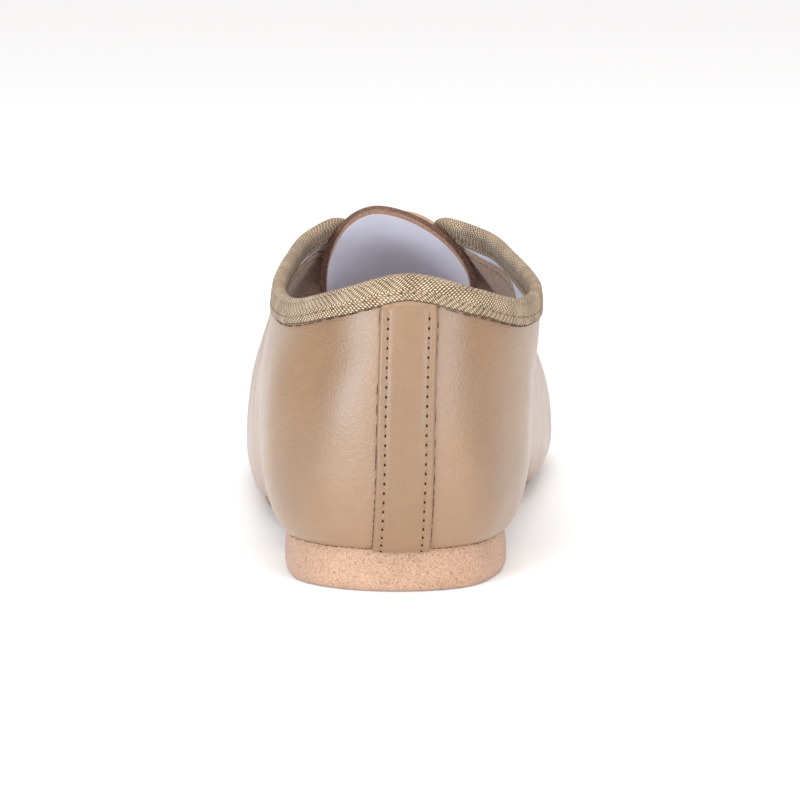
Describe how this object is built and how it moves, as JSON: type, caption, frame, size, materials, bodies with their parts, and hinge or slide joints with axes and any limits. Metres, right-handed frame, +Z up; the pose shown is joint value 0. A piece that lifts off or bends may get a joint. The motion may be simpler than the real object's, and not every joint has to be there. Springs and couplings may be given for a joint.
{
  "type": "jazz shoe",
  "caption": "Low lace-up dance shoe for the left foot, with a split sole, a soft hollow leather upper, a ribbon-bound collar, a tongue and a low heel block.",
  "frame": {"origin": "on the floor, under the middle of the shoe's box", "axes": "+Z up, +Y towards the toe, +X towards the big toe's side"},
  "size_m": [0.086, 0.2511, 0.082],
  "materials": {
    "upper_leather": "soft satin full grain",
    "stay_leather": "satin full grain",
    "ribbon": "twill ribbon",
    "tongue_leather": "napped edge, pale lining",
    "lining": "smooth lining",
    "sole_suede": "suede",
    "heel_suede": "suede",
    "eyelet_metal": "plated",
    "lace_cotton": "woven cord"
  },
  "bodies": {
    "root": {"upper": "upper_leather", "back_stay": "stay_leather", "collar_binding": "ribbon", "tongue": "tongue_leather", "insole": "lining", "forefoot_sole": "sole_suede", "heel": "heel_suede", "eyelet_outer_1": "eyelet_metal", "eyelet_outer_2": "eyelet_metal", "eyelet_outer_3": "eyelet_metal", "eyelet_outer_4": "eyelet_metal", "eyelet_inner_1": "eyelet_metal", "eyelet_inner_2": "eyelet_metal", "eyelet_inner_3": "eyelet_metal", "eyelet_inner_4": "eyelet_metal", "lace": "lace_cotton"}
  },
  "joints": []
}
